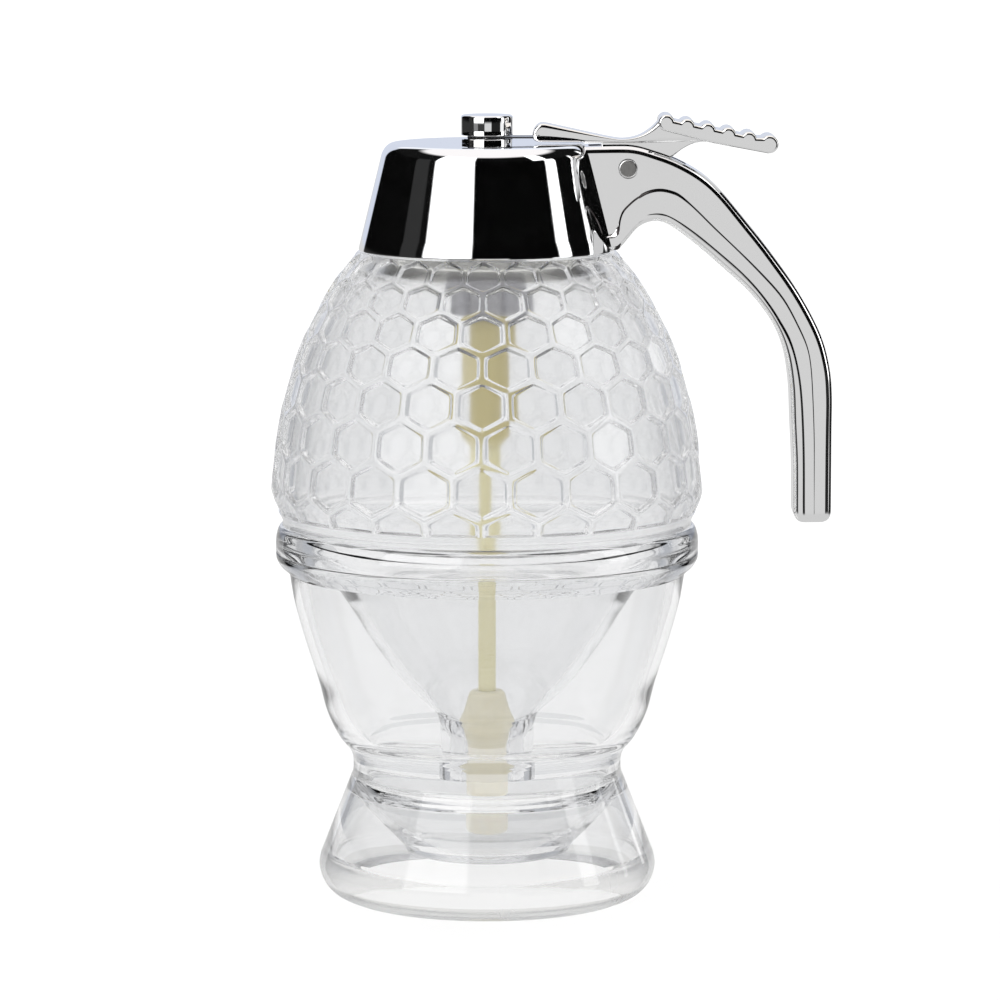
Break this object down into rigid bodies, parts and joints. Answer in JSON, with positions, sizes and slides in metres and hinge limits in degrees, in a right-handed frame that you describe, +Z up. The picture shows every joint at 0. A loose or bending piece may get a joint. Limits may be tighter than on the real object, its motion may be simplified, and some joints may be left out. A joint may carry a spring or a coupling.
{
  "type": "honey dispenser",
  "caption": "Clear beehive-shaped jar with a funnel base hanging in a footed drip stand; a trigger on the lid's handle lifts a stopper rod to pour honey.",
  "frame": {"origin": "on the jar's axis, at the level of the stand's foot ring, which is the surface it stands on", "axes": "+Z up along the jar's axis; +X from the jar's axis towards the handle; +Y across the handle's thickness"},
  "size_m": [0.1165, 0.09, 0.1639],
  "materials": {
    "clear_stand": "clear, colourless, polished",
    "clear_jar": "clear, colourless, polished",
    "chrome_lid": "mirror",
    "chrome_handle": "mirror",
    "steel": "fine satin",
    "pin_steel": "dull end faces",
    "liner_white": "smooth moulded",
    "seal_silicone": "soft, translucent white",
    "rod_ivory": "ivory, slightly translucent",
    "stopper_milky": "milky translucent, smooth",
    "bush_plastic": "smooth moulded"
  },
  "bodies": {
    "stand": {"stand_cup": "clear_stand"},
    "jar": {"funnel_base": "clear_jar", "hive_shell": "clear_jar"},
    "seal_carrier": {"lid_seal": "seal_silicone"},
    "lid": {"lid_cover": "chrome_lid", "lid_liner": "liner_white", "liner_screws": "steel", "spring_housing": "steel", "guide_bush": "bush_plastic", "collar_nut": "chrome_lid", "handle": "chrome_handle", "handle_screws": "steel", "pivot_pin": "pin_steel"},
    "trigger": {"trigger_lever": "chrome_handle", "lift_fork": "steel"},
    "plunger": {"plunger_rod": "rod_ivory", "lift_spindle": "steel", "lift_knob": "chrome_lid", "stopper": "stopper_milky", "return_spring": "steel"}
  },
  "joints": [
    {"name": "jar_lift", "type": "slide", "parent": "stand", "child": "jar", "axis": [0, 0, 1], "range_m": [0, 0.06]},
    {"name": "lid_rise", "type": "slide", "parent": "jar", "child": "seal_carrier", "axis": [0, 0, 1], "range_m": [0, 0.00501]},
    {"name": "lid_unscrew", "type": "hinge", "parent": "seal_carrier", "child": "lid", "pos_m": [0, 0, 0], "axis": [0, 0, 1], "range_deg": [0, 450]},
    {"name": "trigger_pull", "type": "hinge", "parent": "lid", "child": "trigger", "pos_m": [0.0291, 0, 0.1528], "axis": [0, 1, 0], "range_deg": [0, 9.5], "stiffness_Nm_per_rad": 0.337, "springref_deg": -20.51},
    {"name": "plunger_lift", "type": "slide", "parent": "lid", "child": "plunger", "axis": [0, 0, 1], "range_m": [0, 0.0056], "deforming": ["return_spring"]}
  ],
  "couplings": [
    {"joint": "lid_rise", "follows": "lid_unscrew", "m_per_rad": 0.00063662},
    {"joint": "plunger_lift", "follows": "trigger_pull", "m_per_rad": 0.0335}
  ]
}
